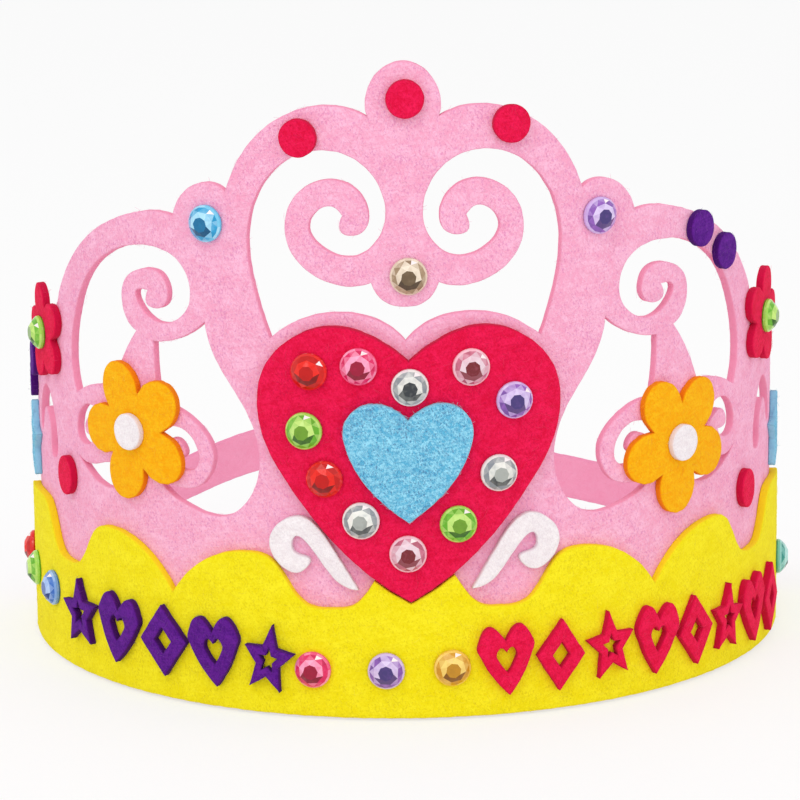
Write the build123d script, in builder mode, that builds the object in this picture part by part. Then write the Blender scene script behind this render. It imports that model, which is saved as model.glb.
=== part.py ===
from build123d import *
import math
import os

# A birthday crown cut from felt. A pink sheet with scrollwork is rolled into a ring and
# stands on its bottom edge. A yellow band with a wavy top is glued round the outside, a
# strap closes the ring at the back, and felt shapes and flat-backed gems are glued on.
# The origin is on the ring's axis at floor level, +Z is up, and the front faces -Y.
# Millimetres. Left and right in the names are as seen from the front, so left is -X.

os.makedirs("parts", exist_ok=True)

# Ring
skin_radius = 88.0          # outer face of the pink sheet
felt = 2.0                  # thickness of the pink sheet and of the yellow band
crown_height = 147.0        # floor to the top of the middle lobe
sheet_end = 160.0           # distance along the skin from the front to each end

# Yellow band
band_foot = 0.6             # the pink sheet shows this much below the band
wave_low = 25.6
wave_high = 37.4
wave_step = 19.5            # along the band, from a trough to the next crest
wave_shoulder = 5.0         # how far a crest or a trough stays nearly level
wave_drop = 0.7             # and how much it has turned by there
band_shift = 1.8            # the band sits this far round from the middle
band_margin = 2.0           # the sheet runs past the band's ends by this

# Back strap
strap_felt = 1.8
strap_height = 11.0
strap_overlap = 15.6        # glued inside the sheet's ends by this

# Hearts and swirls
heart_felt = 2.6
heart_shift = 0.6
heart_gap = 0.4             # round the heart's tip, where the band is cut away for it
small_heart_felt = 1.6
small_heart_shift = 0.3
swirl_felt = 1.6
swirl_shift = 1.6

# Other felt trim
trim_felt = 1.8
trim_gap = 0.5              # the least between two trims that stand edge to edge
centre_felt = 1.6
dot_radius = 4.2
oval_width = 7.6
oval_height = 9.2
flower_reach = 16.4
flower_notch = 9.0          # from the flower's middle to the notch between two petals
flower_centre_radius = 4.15
side_flower_reach = 11.6
side_flower_notch = 6.8
star_reach = 9.5
star_waist = 4.4            # from the star's middle to its inner corners
cutout_height = 16.6
cutout_hole = 0.36          # the hole's size beside the cut-out's own

# Gems
gem_radius = 4.15
gem_girdle = 0.8            # height of the straight rim
gem_shoulder = 1.9          # height where the lower facets meet the upper ones
gem_shoulder_radius = 3.2
gem_height = 2.8
gem_table = 1.9             # radius of the flat top
gem_sides = 12
side_gem_radius = 3.9

skin_inside = skin_radius - felt
band_outside = skin_radius + felt
band_end = sheet_end - band_margin
heart_outside = skin_radius + heart_felt
small_heart_outside = heart_outside + small_heart_felt
swirl_outside = skin_radius + swirl_felt
strap_inside = skin_inside - strap_felt
trim_outside = skin_radius + trim_felt
centre_outside = trim_outside + centre_felt
cutout_outside = band_outside + trim_felt
cutter_top = crown_height + 20.0
reach = 1.4 * skin_radius   # how far the cutters run out
tool_start = 3.0            # trim is cut from this far behind the face that it sits on
tool_length = 10.0
outline_slack = 0.08        # how far a smooth edge's straight steps may lie off it

# Outlines and places are drawn on the flat sheet: s is the distance along the ring from the
# middle of the front, positive to the wearer's left, and z is the height. The drawing is
# stretched to the real sheet: it ends at drawing_end, and its levels are the floor, the
# band's troughs, the band's crests and the crown's top.
drawing_end = 160.0
drawing_levels = [0.0, 25.6, 37.4, 147.0]
real_levels = [0.0, wave_low, wave_high, crown_height]


def along(s):
    # a distance along the drawing, as it is on the real sheet
    return s * sheet_end / drawing_end


def risen(z):
    # a height on the drawing, as it is on the real sheet
    span = 0
    while span < 2 and z > drawing_levels[span + 1]:
        span += 1
    share = (z - drawing_levels[span]) / (drawing_levels[span + 1] - drawing_levels[span])
    return real_levels[span] + share * (real_levels[span + 1] - real_levels[span])


def real(points):
    return [(along(s), risen(z)) for s, z in points]


def facing(angle, distance=0.0):
    # an upright plane that looks out of the ring at this angle, this far from the axis
    out = (math.sin(angle), -math.cos(angle), 0)
    return Plane(
        origin=(out[0] * distance, out[1] * distance, 0),
        x_dir=(math.cos(angle), math.sin(angle), 0),
        z_dir=out,
    )


def steps(curve, first, last):
    # places along a curve whose straight steps stay close to it
    half = (first + last) / 2
    off = curve @ half - (curve @ first + curve @ last) / 2
    if off.length < outline_slack:
        end = curve @ last
        return [(end.X, end.Y)]
    return steps(curve, first, half) + steps(curve, half, last)


def stepped(curves):
    # a closed outline of short straight steps along these curves, each a list of points
    outline = []
    for points in curves:
        if len(points) == 2:
            outline.append(points[1])
            continue
        curve = Spline(*points, mode=Mode.PRIVATE)
        for k in range(len(points)):
            outline += steps(curve, k / len(points), (k + 1) / len(points))
    return outline


def flat(points, radius, angle=0.0):
    # sheet points seen along that plane's normal, so that they land true on the ring
    return [(radius * math.sin(s / radius - angle), z) for s, z in points]


# The pink sheet's top edge, right half, as curves that meet in notches
top_lobe = [(0, 147.0), (5.0, 145.0), (7.8, 140.6), (7.8, 135.1)]
main_arch = [(7.8, 135.1), (17.5, 137.4), (30, 132.8), (36.5, 126.0), (40.5, 117.8)]
gem_lobe = [(40.5, 117.8), (45.8, 119.4), (51.4, 116.8), (54.4, 111.3)]
side_arch = [(54.4, 111.3), (61, 111.8), (70, 109.8), (80, 105.6), (90, 98.6), (101.5, 84.5)]
end_arch = [(101.5, 84.5), (108, 82.5), (117, 76.5), (126, 68.6), (134, 59.4), (139.6, 48), (143, 35)]
sheet_tail = [(143, 35), (150, 32.6), (156, 27), (drawing_end, 16), (drawing_end, 8), (157, 0)]

# The main opening with its spiral, right half
heart_top = [(0, 85.8), (6, 90.4), (14.5, 92.0), (23, 90.3), (30.3, 85.8)]
opening_round = [
    (30.3, 85.8), (34.2, 98), (35.0, 111), (30.6, 121), (22, 127), (12, 126.5), (5.2, 119.5),
    (4.9, 110), (10, 104.8), (17, 105.7), (21, 111.2), (16.9, 115.4), (13.5, 113.4),
]
spiral_round = [
    (13.5, 113.4), (13.3, 109.4), (9.2, 109.8), (8.6, 117), (16.5, 121.3), (24.8, 116.4),
    (25.8, 106.6), (18.2, 99.2), (7.4, 98.7),
]
spiral_foot = [(7.4, 98.7), (4.9, 94.8), (0, 93.4)]

# The side arch's opening with its small spiral
arch_round = [
    (90.5, 66), (92.8, 74), (90.4, 84.5), (84.3, 94.2), (75, 100.8), (61, 103.8), (52.6, 100.6),
    (50.5, 92), (56.4, 87), (63.4, 88.6), (66.3, 92.6), (62.4, 93.7),
]
curl_round = [
    (62.4, 93.7), (62.6, 90.4), (57.4, 90.8), (57.6, 97), (64.3, 98.4), (70.4, 94.2),
    (70.4, 88.2), (66.4, 84),
]
stem_right = [(66.4, 84), (71.0, 77.6), (74.8, 69.8)]
outer_ring_top = [(74.8, 69.8), (82.5, 69.2), (90.5, 66)]

# The lower opening, between the heart, the small spiral's arm and the ring under the flower
arm_under = [(46.4, 88.2), (52.4, 84.2), (60.9, 82.3)]
stem_left = [(60.9, 82.3), (60.7, 76), (59.4, 68.2)]
inner_ring = [(59.4, 68.2), (50, 65.4), (44.8, 58), (48.3, 51), (54.5, 49.6), (60.8, 51.4)]
neck = [
    (60.8, 51.4), (57, 48), (51.5, 45.6), (41, 44.9), (34.2, 53), (36.0, 68), (42.6, 78),
    (46.4, 88.2),
]

# The ring's own hole, a hook, and the same again mirrored for the outer ring
hook_out = [
    (61.8, 57.4), (60.4, 61), (55.4, 63.5), (50.2, 61), (49.4, 55), (54.4, 54.2), (56.2, 56.2),
]
hook_in = [(56.2, 56.2), (52.5, 58.2), (54.6, 60.7), (58.4, 59.6), (61.8, 57.4)]
ring_mirror = 139.6         # twice the distance to the line between the two rings
ring_rise = 0.6
outer_hook_out = [(ring_mirror - s, z + ring_rise) for s, z in hook_out]
outer_hook_in = [(ring_mirror - s, z + ring_rise) for s, z in hook_in]

# The thin opening below the outer ring, and the one in the end lobe
under_ring = [(70.5, 49.8), (75.5, 52.0), (84, 50.3), (91, 51.8)]
under_ring_low = [(91, 51.8), (84, 47.4), (76, 46.2), (70.5, 49.8)]
end_out = [(104, 48), (104.6, 57), (111.4, 63.6), (119, 59), (121.5, 52)]
end_in = [(121.5, 52), (118.2, 51.4), (113.4, 58), (108.8, 53.4), (108.2, 48), (104, 48)]

# The large heart, right half, from the notch down to the tip, and the small one on it
heart_lobe = [(0, 81.6), (5.4, 85.7), (16.5, 89.3), (28.3, 84.8), (34.2, 73)]
heart_flank = [(34.2, 73), (32.8, 63.6), (26.8, 53), (12.6, 36.4), (0, 27.4)]
small_lobe = [(0, 68.8), (3.6, 71.6), (8, 72.6), (12.6, 70.4), (14.4, 65.8)]
small_flank = [(14.4, 65.8), (12.6, 59.4), (7.6, 52.2), (0, 45.9)]

# The white swirl beside the heart's tip, right one
swirl_edge = [
    (12.6, 29.9), (18.4, 39.6), (26.3, 46.4), (32.9, 41), (30.6, 35), (25.4, 33.8), (23.5, 36.6),
    (27.4, 38.4), (27.2, 41.4), (21.6, 37), (17, 31.4), (12.6, 29.9),
]


def mirrored(curves):
    return [[(-s, z) for s, z in reversed(points)] for points in reversed(curves)]


def widened(outline, gap):
    # a closed outline that runs clockwise, moved outwards all round
    moved = []
    for k, (s, z) in enumerate(outline):
        before = outline[k - 1]
        after = outline[(k + 1) % len(outline)]
        run = math.dist(before, after)
        moved.append((s - gap * (after[1] - before[1]) / run, z + gap * (after[0] - before[0]) / run))
    return moved


def cutter(curves, radius, angle=0.0, turn=0.0):
    # a solid with this outline that runs out through the ring, turned round the axis
    outline = flat(stepped(curves), radius, angle)
    with BuildPart() as tool:
        with BuildSketch(facing(angle + turn, 0.3 * radius)):
            Polygon(*outline, align=None)
        extrude(amount=reach)
    return tool.part


def tube(inside, outside, height, foot=0.0, seam=1):
    # a plain rolled sheet whose seam is at the back, or at the front with seam -1
    with BuildPart() as blank:
        with BuildSketch(Plane(origin=(0, 0, foot), x_dir=(0, seam, 0), z_dir=(0, 0, 1))):
            Circle(outside)
            Circle(inside, mode=Mode.SUBTRACT)
        extrude(amount=height - foot)
    return blank.part


def back_gap(end):
    # everything behind a sheet whose ends are this far along the ring, and a little clear of it
    angle = end / skin_radius + math.radians(6)
    side = 1.6 * reach * math.sin(angle)
    back = -1.6 * reach * math.cos(angle)
    with BuildPart() as behind:
        with BuildSketch(Plane.XY):
            Polygon((0, 0), (side, back), (side, 3 * reach), (-side, 3 * reach), (-side, back), align=None)
        extrude(amount=cutter_top)
    return behind.part


def above(curves):
    # what is left over above an edge that runs from the left to the right
    first = curves[0][0]
    last = curves[-1][-1]
    return curves + [
        [last, (last[0], cutter_top)],
        [(last[0], cutter_top), (first[0], cutter_top)],
        [(first[0], cutter_top), first],
    ]


def beyond(curves, radius, angle):
    # what is left over above an edge that runs down to the foot at the sheet's end
    first = curves[0][0]
    foot = curves[-1][-1]
    far = radius * (angle + math.radians(64))
    lap = 4.0
    return curves + [
        [foot, (foot[0], -5)],
        [(foot[0], -5), (far, -5)],
        [(far, -5), (far, cutter_top)],
        [(far, cutter_top), (first[0] - lap, cutter_top)],
        [(first[0] - lap, cutter_top), first],
    ]


def curved_face(form, radius):
    # the rolled face of a form that has this radius
    curved = form.faces().filter_by(GeomType.CYLINDER)
    return min(curved, key=lambda face: abs((face.radius or 0) - radius))


def rolled(form, inside, outside):
    # a sheet between two radii, cut square all round to the outline of a form's outer face: that
    # face is taken in to the inner radius, and the sheet is built out again from there
    skin = thicken(curved_face(form, outside), amount=inside - outside, mode=Mode.PRIVATE)
    return thicken(curved_face(skin, inside), amount=inside - outside, mode=Mode.PRIVATE)


def save(piece, name):
    piece.part.label = name
    export_step(piece.part, "parts/" + name + ".step")


# Pink sheet
crest_half = [real(points) for points in (top_lobe, main_arch, gem_lobe)]
side_half = [real(points) for points in (side_arch, end_arch, sheet_tail)]
opening_half = [real(points) for points in (heart_top, opening_round, spiral_round, spiral_foot)]
side_angle = along(95) / skin_radius
crown_cutters = [
    cutter(above(mirrored(crest_half) + crest_half), skin_radius),
    cutter(opening_half + mirrored(opening_half), skin_radius),
]

# each side opening's curves, and about where its middle is
side_openings = [
    ([arch_round, curl_round, stem_right, outer_ring_top], 70.0),
    ([arm_under, stem_left, inner_ring, neck], 48.0),
    ([hook_out, hook_in], 55.0),
    ([outer_hook_out, outer_hook_in], 85.0),
    ([under_ring, under_ring_low], 81.0),
    ([end_out, end_in], 113.0),
]
side_cutters = [cutter(beyond(side_half, skin_radius, side_angle), skin_radius, side_angle)]
for curves, middle in side_openings:
    outline = [real(points) for points in curves]
    side_cutters.append(cutter(outline, skin_radius, along(middle) / skin_radius))

with BuildPart() as body_form:
    add(tube(skin_inside, skin_radius, cutter_top))
    add(back_gap(sheet_end), mode=Mode.SUBTRACT)
    add(crown_cutters, mode=Mode.SUBTRACT)
    add(side_cutters, mode=Mode.SUBTRACT)
    mirror(side_cutters, about=Plane.YZ, mode=Mode.SUBTRACT)

with BuildPart() as crown_body:
    add(rolled(body_form, skin_inside, skin_radius))
save(crown_body, "crown_body")


# Yellow band, its wavy edge drawn from its own middle
def wave(first, last):
    points = []
    for k in range(first, last + 1):
        height = wave_high if k % 2 == 0 else wave_low
        turned = height - wave_drop if k % 2 == 0 else height + wave_drop
        middle = k * wave_step
        points += [(middle - wave_shoulder, turned), (middle, height), (middle + wave_shoulder, turned)]
    return points


# the tail's places, as shares of the way from the last crest to the band's end
tail_shares = [(0.341, 36.4), (0.659, 32.5), (0.854, 25.0), (0.937, 16.0), (1.0, 8.0)]
last_crest = 6 * wave_step
tail_length = band_end - last_crest
band_tail = [(last_crest + share * tail_length, risen(z)) for share, z in tail_shares]
band_tail.append((last_crest + 0.927 * tail_length, band_foot))
wave_middle = [(-3 * wave_step, wave_low)] + wave(-2, 2) + [(3 * wave_step, wave_low)]
wave_side = [(3 * wave_step, wave_low)] + wave(4, 5)
wave_side += [(last_crest - wave_shoulder, wave_high - wave_drop), (last_crest, wave_high), band_tail[0]]

large_heart_half = [real(heart_lobe), real(heart_flank)]
large_heart_edge = large_heart_half + mirrored(large_heart_half)
heart_angle = heart_shift / heart_outside
shift_angle = band_shift / band_outside
band_angle = along(95) / band_outside

pocket_edge = flat(widened(stepped(large_heart_edge), heart_gap), heart_outside)
with BuildPart() as heart_pocket:
    with BuildSketch(facing(heart_angle, 0.3 * skin_radius)):
        Polygon(*pocket_edge, align=None)
    extrude(amount=reach)

band_middle = cutter(above([wave_middle]), band_outside, 0, shift_angle)
band_edge = beyond([wave_side, band_tail], band_outside, band_angle)
band_side = cutter(band_edge, band_outside, band_angle, shift_angle)
band_mirror = Plane(origin=(0, 0, 0), z_dir=facing(shift_angle).x_dir)

with BuildPart() as band_form:
    add(tube(skin_radius, band_outside, cutter_top, band_foot))
    add(back_gap(sheet_end), mode=Mode.SUBTRACT)
    add([band_middle, band_side], mode=Mode.SUBTRACT)
    mirror(band_side, about=band_mirror, mode=Mode.SUBTRACT)
    add(heart_pocket.part, mode=Mode.SUBTRACT)

with BuildPart() as yellow_band:
    add(rolled(band_form, skin_radius, band_outside))
save(yellow_band, "yellow_band")

# Back strap: its middle line round the back, as shares of the way between its two ends, and heights
strap_line = [
    (0, 13.0), (0.18, 13.2), (0.285, 14.5), (0.372, 16.4), (0.477, 20.6), (0.587, 23.8),
    (0.666, 22.5), (0.744, 18.4), (0.849, 14.6), (1, 13.0),
]
strap_reach = math.pi - (sheet_end - strap_overlap) / skin_radius
strap_middle = Spline(*[((2 * share - 1) * strap_reach * skin_inside, z) for share, z in strap_line])
strap_steps = 60

with BuildPart() as strap_form:
    for way in (-1, 1):
        # each half is seen from its own side, so that the strap may go more than half round
        view = way * strap_reach / 2
        share_first = 0 if way < 0 else 0.5
        middle_line = []
        for k in range(strap_steps // 2 + 1):
            spot = strap_middle @ (share_first + k / strap_steps)
            middle_line.append((spot.X, spot.Y))
        upper = [(s, z + strap_height / 2) for s, z in middle_line]
        lower = [(s, z - strap_height / 2) for s, z in reversed(middle_line)]
        with BuildSketch(facing(math.pi + view, 0.3 * skin_radius)):
            Polygon(*flat(upper + lower, skin_inside, view), align=None)
        extrude(amount=reach)
    add(tube(strap_inside, skin_inside, cutter_top, seam=-1), mode=Mode.INTERSECT)

with BuildPart() as back_strap:
    add(rolled(strap_form, strap_inside, skin_inside))
save(back_strap, "back_strap")

# Large heart on the pink sheet, its tip in the band's pocket
heart_cutter = cutter(large_heart_edge, heart_outside, 0, heart_angle)
with BuildPart() as heart_form:
    add(heart_cutter)
    add(tube(skin_radius, heart_outside, cutter_top), mode=Mode.INTERSECT)

with BuildPart() as large_heart:
    add(rolled(heart_form, skin_radius, heart_outside))
save(large_heart, "large_heart")

# Small heart on the large one
small_half = [real(small_lobe), real(small_flank)]
small_cutter = cutter(
    small_half + mirrored(small_half), small_heart_outside, 0, small_heart_shift / heart_outside
)
with BuildPart() as small_form:
    add(small_cutter)
    add(tube(heart_outside, small_heart_outside, cutter_top), mode=Mode.INTERSECT)

with BuildPart() as small_heart:
    add(rolled(small_form, heart_outside, small_heart_outside))
save(small_heart, "small_heart")

# White swirls either side of the heart's tip, clear of the band
swirl_turn = swirl_shift / swirl_outside
for side, way in (("left", -1), ("right", 1)):
    edge = [(way * s, z) for s, z in real(swirl_edge)]
    swirl_cutter = cutter([edge], swirl_outside, way * along(24) / swirl_outside, swirl_turn)
    with BuildPart() as swirl_form:
        add(swirl_cutter)
        add(tube(skin_radius, swirl_outside, cutter_top), mode=Mode.INTERSECT)
        add(yellow_band.part, mode=Mode.SUBTRACT)
    with BuildPart() as swirl:
        add(rolled(swirl_form, skin_radius, swirl_outside))
    save(swirl, "swirl_" + side)


def seat(s, inside):
    # a plane a little behind a face of the ring that looks out at this place along the drawing
    return facing(along(s) / inside, inside - tool_start)


def oval(half_width, half_height, sides=16):
    turns = [2 * math.pi * k / sides for k in range(sides)]
    return [(half_width * math.cos(a), half_height * math.sin(a)) for a in turns]


def petals(tip, notch, turn, sides):
    # a flower of five round petals, the first one turned this far in degrees
    points = []
    for k in range(5 * sides):
        angle = 2 * math.pi * k / (5 * sides)
        radius = notch + (tip - notch) * abs(math.cos(2.5 * angle)) ** 0.8
        away = angle + math.radians(turn)
        points.append((radius * math.cos(away), radius * math.sin(away)))
    return points


def star_points(width, height, waist):
    # five points, first one up; waist is the inner corners' distance beside the tips'
    points = []
    for k in range(10):
        size = 0.5 if k % 2 == 0 else 0.5 * waist
        turn = math.radians(36 * k)
        points.append((width * size * math.sin(turn), height * size * math.cos(turn)))
    return points


# Orange flowers with white centres, one on each arch's rings: side, s, z, turn in degrees
flowers = [("left", -66.8, 61.2, 113.0), ("right", 66.8, 57.1, 50.0)]
for side, s, z, turn in flowers:
    with BuildPart() as flower_form:
        with BuildSketch(seat(s, skin_radius)):
            with Locations((0, risen(z))):
                Polygon(*petals(flower_reach, flower_notch, turn, 10), align=None)
        extrude(amount=tool_length)
        add(tube(skin_radius, trim_outside, cutter_top), mode=Mode.INTERSECT)
    with BuildPart() as flower:
        add(rolled(flower_form, skin_radius, trim_outside))
    save(flower, "flower_" + side)

    with BuildPart() as flower_centre_form:
        with BuildSketch(seat(s, skin_radius)):
            with Locations((0, risen(z))):
                Polygon(*oval(flower_centre_radius, flower_centre_radius), align=None)
        extrude(amount=tool_length)
        add(tube(trim_outside, centre_outside, cutter_top), mode=Mode.INTERSECT)
    with BuildPart() as flower_centre:
        add(rolled(flower_centre_form, trim_outside, centre_outside))
    save(flower_centre, "flower_centre_" + side)

# Smaller flowers where the side arches end
side_flowers = [("left", -108.0, 77.0, 102.0), ("right", 107.0, 79.0, 78.0)]
for side, s, z, turn in side_flowers:
    with BuildPart() as side_flower_form:
        with BuildSketch(seat(s, skin_radius)):
            with Locations((0, risen(z))):
                Polygon(*petals(side_flower_reach, side_flower_notch, turn, 8), align=None)
        extrude(amount=tool_length)
        add(tube(skin_radius, trim_outside, cutter_top), mode=Mode.INTERSECT)
    with BuildPart() as side_flower:
        add(rolled(side_flower_form, skin_radius, trim_outside))
    save(side_flower, "side_flower_" + side)

# Blue stars on the end lobes
star_height = risen(47.0)
for side, s in (("left", -128.0), ("right", 128.0)):
    with BuildPart() as star_form:
        with BuildSketch(seat(s, skin_radius)):
            with Locations((0, star_height)):
                Polygon(*star_points(2 * star_reach, 2 * star_reach, star_waist / star_reach), align=None)
        extrude(amount=tool_length)
        add(tube(skin_radius, trim_outside, cutter_top), mode=Mode.INTERSECT)
    with BuildPart() as star:
        add(rolled(star_form, skin_radius, trim_outside))
    save(star, "star_" + side)

# Felt dots and ovals on the pink sheet: name, s, z, half width, half height
above_star = star_height + star_reach + dot_radius + trim_gap
dots = [
    ("dot_top", 0.4, risen(139.0), dot_radius, dot_radius),
    ("dot_left", -22.8, risen(130.4), dot_radius, dot_radius),
    ("dot_right", 23.4, risen(133.0), dot_radius, dot_radius),
    ("purple_dot_right_1", 74.4, risen(104.8), dot_radius, dot_radius),
    ("purple_dot_right_2", 84.2, risen(98.2), dot_radius, dot_radius),
    ("purple_dot_left_1", -122.6, above_star + 1.6 * dot_radius, dot_radius, dot_radius),
    ("purple_dot_left_2", -130.6, above_star, dot_radius, dot_radius),
    ("oval_left", -95.0, risen(45.6), oval_width / 2, oval_height / 2),
    ("oval_right", 96.0, risen(40.2), oval_width / 2, oval_height / 2),
]
for name, s, height, half_width, half_height in dots:
    with BuildPart() as dot_form:
        with BuildSketch(seat(s, skin_radius)):
            with Locations((0, height)):
                Polygon(*oval(half_width, half_height), align=None)
        extrude(amount=tool_length)
        add(tube(skin_radius, trim_outside, cutter_top), mode=Mode.INTERSECT)
    with BuildPart() as dot:
        add(rolled(dot_form, skin_radius, trim_outside))
    save(dot, name)


def felt_shape(kind, width, height):
    # the outline of a star, a diamond or a heart round its own middle
    if kind == "star":
        return star_points(width, height, 0.46)
    if kind == "diamond":
        return [(0, height / 2), (width / 2, 0), (0, -height / 2), (-width / 2, 0)]
    lobe = [(0, 0.26 * height), (0.26 * width, 0.47 * height), (0.5 * width, 0.18 * height)]
    flank = [(0.5 * width, 0.18 * height), (0.3 * width, -0.18 * height), (0, -0.5 * height)]
    return stepped([lobe, flank] + mirrored([lobe, flank]))


# Felt cut-outs along the band, each with a hole of its own shape:
# name, shape, s along the band, z, width, tilt in degrees
cutouts = [
    ("purple_1", "star", -88.2, 14.8, 15.6, 4.0),
    ("purple_2", "heart", -73.0, 14.6, 14.0, -5.0),
    ("purple_3", "diamond", -58.6, 14.4, 13.6, 3.0),
    ("purple_4", "heart", -44.8, 14.0, 13.4, 5.0),
    ("purple_5", "star", -31.6, 13.2, 12.6, -8.0),
    ("magenta_1", "heart", 21.6, 13.6, 13.2, 4.0),
    ("magenta_2", "diamond", 34.2, 13.4, 11.8, -3.0),
    ("magenta_3", "star", 46.8, 13.6, 13.0, 5.0),
    ("magenta_4", "heart", 59.8, 13.2, 12.6, -4.0),
    ("magenta_5", "diamond", 72.2, 12.6, 11.8, 3.0),
    ("magenta_6", "star", 84.8, 12.4, 13.0, -5.0),
    ("magenta_7", "heart", 97.8, 11.8, 12.6, 4.0),
    ("magenta_8", "diamond", 110.2, 11.2, 11.8, -4.0),
]
for name, kind, s, z, drawn_width, tilt in cutouts:
    width = along(drawn_width)
    edge = felt_shape(kind, width, cutout_height)
    hole = felt_shape(kind, cutout_hole * width, cutout_hole * cutout_height)
    with BuildPart() as cutout_form:
        with BuildSketch(seat(s, band_outside)):
            with Locations(Location((0, risen(z)), tilt)):
                Polygon(*edge, align=None)
                Polygon(*hole, align=None, mode=Mode.SUBTRACT)
        extrude(amount=tool_length)
        add(tube(band_outside, cutout_outside, cutter_top), mode=Mode.INTERSECT)
    with BuildPart() as cutout:
        add(rolled(cutout_form, band_outside, cutout_outside))
    save(cutout, "cutout_" + name)

# Flat-backed gems: name, s along the face it sits on, z, that face's radius, the gem's radius
heart_gems = [
    ("red_1", -21.3, 79.4), ("pink_1", -10.3, 80.8), ("clear_1", 0.8, 76.1), ("blush_1", 14.2, 80.3),
    ("lilac_1", 23.8, 72.4), ("clear_2", 20.2, 56.3), ("green_1", 11.1, 45.2), ("blush_2", 0.0, 38.7),
    ("clear_3", -10.2, 46.2), ("red_2", -18.2, 55.4), ("green_2", -22.6, 66.1),
]
band_gems = [
    ("pink_2", -21.5, 11.6), ("lilac_2", -5.1, 11.8), ("amber", 9.5, 12.2), ("blue", -105.2, 16.8),
    ("green_3", -122.0, 17.4), ("red_3", -139.0, 18.0), ("teal", 131.0, 15.4),
]
gems = [("heart_" + name, s, z, heart_outside, gem_radius) for name, s, z in heart_gems]
gems += [("band_" + name, s, z, band_outside, gem_radius) for name, s, z in band_gems]
gems += [
    ("champagne", 0.8, 100.2, skin_radius, gem_radius),
    ("cyan", -45.3, 110.4, skin_radius, gem_radius),
    ("lilac_3", 44.6, 111.2, skin_radius, gem_radius),
]
for side, s, z, turn in side_flowers:
    gems.append(("flower_green_" + side, s * trim_outside / skin_radius, z, trim_outside, side_gem_radius))


def facet(turn, foot, top):
    # a sloping facet's plane on this side, through two points given as distance out and height
    out = (math.cos(turn), math.sin(turn))
    back = foot[0] - top[0]
    rise = top[1] - foot[1]
    return Plane(
        origin=(foot[0] * out[0], foot[0] * out[1], foot[1]),
        z_dir=(rise * out[0], rise * out[1], back),
    )


def stone(radius):
    # a flat-backed gem: a round of low facets, then six that slope less and meet the flat top
    side = math.pi / gem_sides
    shoulder = (radius - gem_radius + gem_shoulder_radius) * math.cos(side)
    table = (radius - gem_radius + gem_table) * math.cos(2 * side)
    with BuildPart() as gem:
        with BuildSketch(Plane.XY):
            RegularPolygon(radius, gem_sides)
        extrude(amount=gem_height)
        for k in range(gem_sides):
            low = facet((2 * k + 1) * side, (radius * math.cos(side), gem_girdle), (shoulder, gem_shoulder))
            split(bisect_by=low, keep=Keep.BOTTOM)
        for k in range(gem_sides // 2):
            high = facet(4 * k * side, (shoulder, gem_shoulder), (table, gem_height))
            split(bisect_by=high, keep=Keep.BOTTOM)
    return gem.part


stones = {radius: stone(radius) for radius in (gem_radius, side_gem_radius)}
for name, s, z, face_radius, radius in gems:
    back = facing(along(s) / face_radius, face_radius)
    with BuildPart() as gem:
        with Locations(back.location * Location((0, risen(z), 0))):
            add(stones[radius])
    save(gem, "gem_" + name)
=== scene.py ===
import math
import random

import bpy
import numpy as np
from mathutils import Matrix, Vector, noise
from mathutils.geometry import delaunay_2d_cdt


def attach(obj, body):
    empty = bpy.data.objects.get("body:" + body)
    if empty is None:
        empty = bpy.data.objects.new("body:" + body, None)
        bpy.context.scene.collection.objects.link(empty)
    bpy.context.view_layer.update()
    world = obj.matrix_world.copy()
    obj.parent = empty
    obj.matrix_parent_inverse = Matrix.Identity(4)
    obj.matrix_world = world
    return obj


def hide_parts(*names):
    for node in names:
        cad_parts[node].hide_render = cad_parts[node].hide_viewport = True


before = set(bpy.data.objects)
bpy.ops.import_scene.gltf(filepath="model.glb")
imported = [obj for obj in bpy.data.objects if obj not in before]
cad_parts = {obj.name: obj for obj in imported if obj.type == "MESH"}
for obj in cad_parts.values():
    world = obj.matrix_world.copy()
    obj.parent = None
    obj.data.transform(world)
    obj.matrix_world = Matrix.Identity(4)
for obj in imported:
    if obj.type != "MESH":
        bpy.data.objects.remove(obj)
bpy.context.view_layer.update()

scene = bpy.context.scene
mm = 0.001


def linear(colour):
    # from a colour as seen, 0 to 255, to the shader's own
    made = []
    for value in colour:
        c = value / 255
        made.append(c / 12.92 if c <= 0.04045 else ((c + 0.055) / 1.055) ** 2.4)
    return (*made, 1.0)


def addNode(tree, kind, **values):
    made = tree.nodes.new(kind)
    for name, value in values.items():
        setattr(made, name, value)
    return made


def setSockets(node, values):
    for name, value in values.items():
        node.inputs[name].default_value = value


def link(tree, start, startName, end, endName):
    tree.links.new(start.outputs[startName], end.inputs[endName])


def newMaterial(name):
    material = bpy.data.materials.new(name)
    material.use_nodes = True
    return material, material.node_tree, material.node_tree.nodes["Principled BSDF"]


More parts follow.
